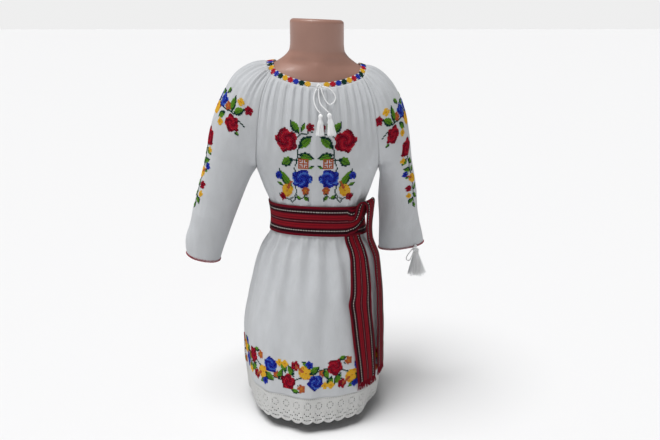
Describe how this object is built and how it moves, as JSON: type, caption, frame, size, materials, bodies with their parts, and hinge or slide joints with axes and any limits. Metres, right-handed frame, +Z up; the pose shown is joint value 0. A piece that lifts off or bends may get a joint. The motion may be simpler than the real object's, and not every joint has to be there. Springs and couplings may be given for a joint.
{
  "type": "romanian folk dress on a dress form",
  "caption": "Child's white folk dress with raglan sleeves, gathered neck, lace hem and woven belt, worn by a limbless dress form on a low round stand.",
  "frame": {"origin": "middle of the stand's flat underside, on the surface it stands on", "axes": "+Z up, -Y towards the front of the dress, +X towards the wearer's left, where the belt is tied"},
  "size_m": [0.4456, 0.2759, 0.6967],
  "materials": {
    "cotton": "white plain-woven cotton, matt, with cross-stitched flowers",
    "binding": "white cotton binding with stitched diamonds",
    "lace": "off-white cotton lace",
    "belt": "woven wool belt in crimson and black stripes",
    "cord": "white twisted cotton cord and thread",
    "form": "satin flesh-coloured moulded plastic",
    "stand": "satin grey powder coat"
  },
  "bodies": {
    "root": {"front_panel": "cotton", "back_panel": "cotton", "sleeve_left": "cotton", "sleeve_right": "cotton", "neck_binding": "binding", "hem_lace_front": "lace", "hem_lace_back": "lace", "belt_band": "belt", "belt_wrap": "belt", "belt_tail_front": "belt", "belt_tail_back": "belt", "belt_fringe_front": "belt", "belt_fringe_back": "belt", "neck_tie_knot": "cord", "neck_tie_loop": "cord", "neck_tie_left": "cord", "neck_tie_right": "cord", "neck_tassel_left": "cord", "neck_tassel_right": "cord", "cuff_tie_knot": "cord", "cuff_tie_loop": "cord", "cuff_tassel": "cord", "form_torso": "form", "form_pole": "stand", "form_base": "stand"}
  },
  "joints": []
}
